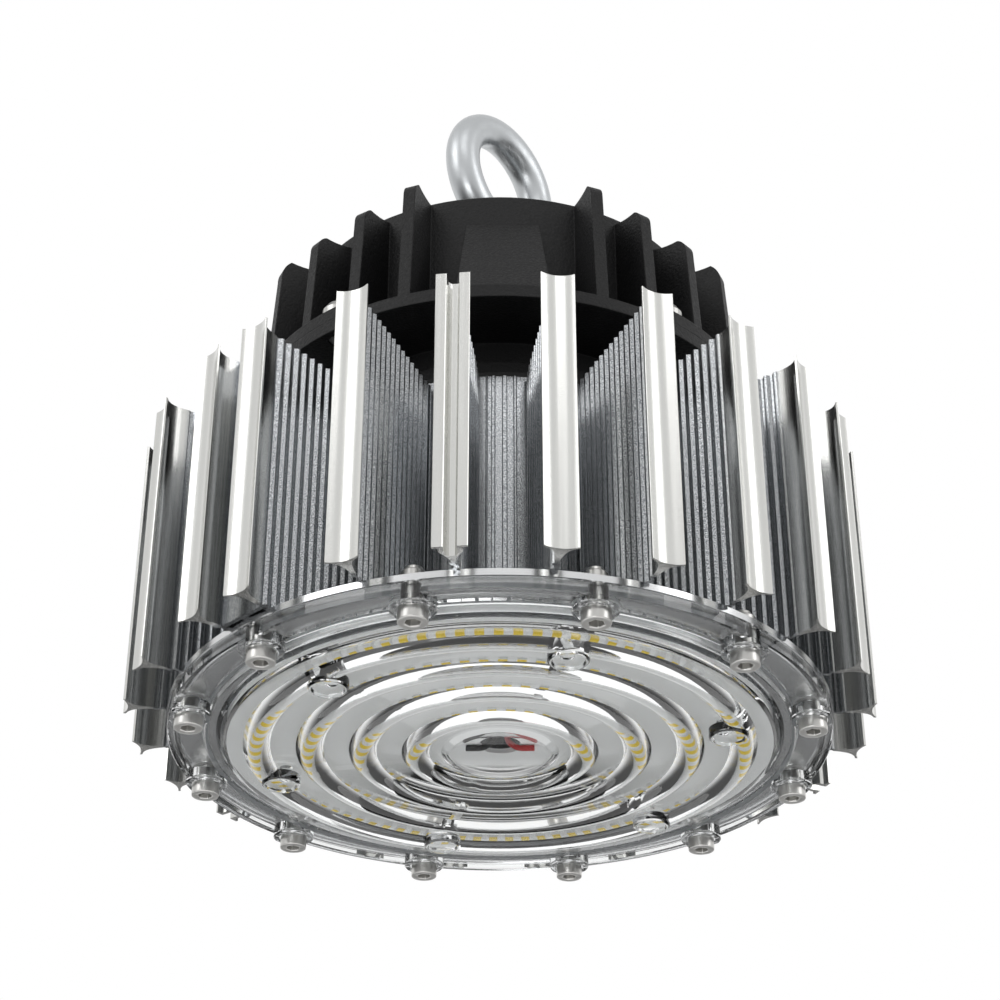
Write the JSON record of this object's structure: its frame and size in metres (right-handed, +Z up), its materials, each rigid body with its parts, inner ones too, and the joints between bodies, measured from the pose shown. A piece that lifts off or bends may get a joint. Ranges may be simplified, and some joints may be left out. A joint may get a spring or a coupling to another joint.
{
  "type": "high bay light",
  "caption": "Round hanging high bay light: ribbed driver housing with a lifting eye over a finned extruded heat sink, with an LED board behind a clear ring lens.",
  "frame": {"origin": "centre of the light in the plane of the lens screws' heads, which it stands on", "axes": "+Z up along the light's axis towards the lifting eye; -Y towards the housing's front pad"},
  "size_m": [0.2274, 0.2274, 0.2507],
  "materials": {
    "extruded_aluminium": "clear anodised, satin",
    "turned_aluminium": "bright turned",
    "black_casting": "fine textured black powder coat",
    "clear_polycarbonate": "clear, glossy",
    "stainless_steel": "satin",
    "eye_steel": "bright zinc plated, forged",
    "black_rubber": "matte",
    "grey_silicone": "matte",
    "white_solder_mask": "white solder mask on an aluminium core",
    "led_package": "white case with yellow phosphor",
    "black_nylon": "matte",
    "green_fibreglass": "green solder mask",
    "transformer_tape": "yellow polyester tape",
    "capacitor_sleeve": "shrink sleeve",
    "film_capacitor_case": "moulded",
    "ferrite": "coated ferrite core",
    "terminal_polyamide": "moulded",
    "red_insulation": "silicone insulation",
    "black_insulation": "silicone insulation"
  },
  "bodies": {
    "root": {"lens": "clear_polycarbonate", "lens_seal": "grey_silicone", "lens_screws": "stainless_steel", "lens_nuts": "stainless_steel", "base_plate": "turned_aluminium", "base_plate_screws": "stainless_steel", "grommet": "black_rubber", "led_board": "white_solder_mask", "leds": "led_package", "heat_sink": "extruded_aluminium", "foot_gasket": "black_rubber", "driver_base": "black_casting", "port_screws": "stainless_steel", "housing_seal": "grey_silicone", "driver_housing": "black_casting", "ear_screws": "stainless_steel", "eye_bolt": "eye_steel", "eye_seal": "black_rubber", "eye_washer": "stainless_steel", "eye_nut": "stainless_steel", "gland_body": "black_nylon", "gland_insert": "black_rubber", "gland_cap": "black_nylon", "gland_locknut": "black_nylon", "driver_board": "green_fibreglass", "driver_spacers": "black_nylon", "driver_screws": "stainless_steel", "transformer": "transformer_tape", "filter_capacitor": "film_capacitor_case", "terminal_block": "terminal_polyamide", "bulk_capacitor": "capacitor_sleeve", "output_capacitor": "capacitor_sleeve", "choke": "ferrite", "wire_red": "red_insulation", "wire_black": "black_insulation"}
  },
  "joints": []
}
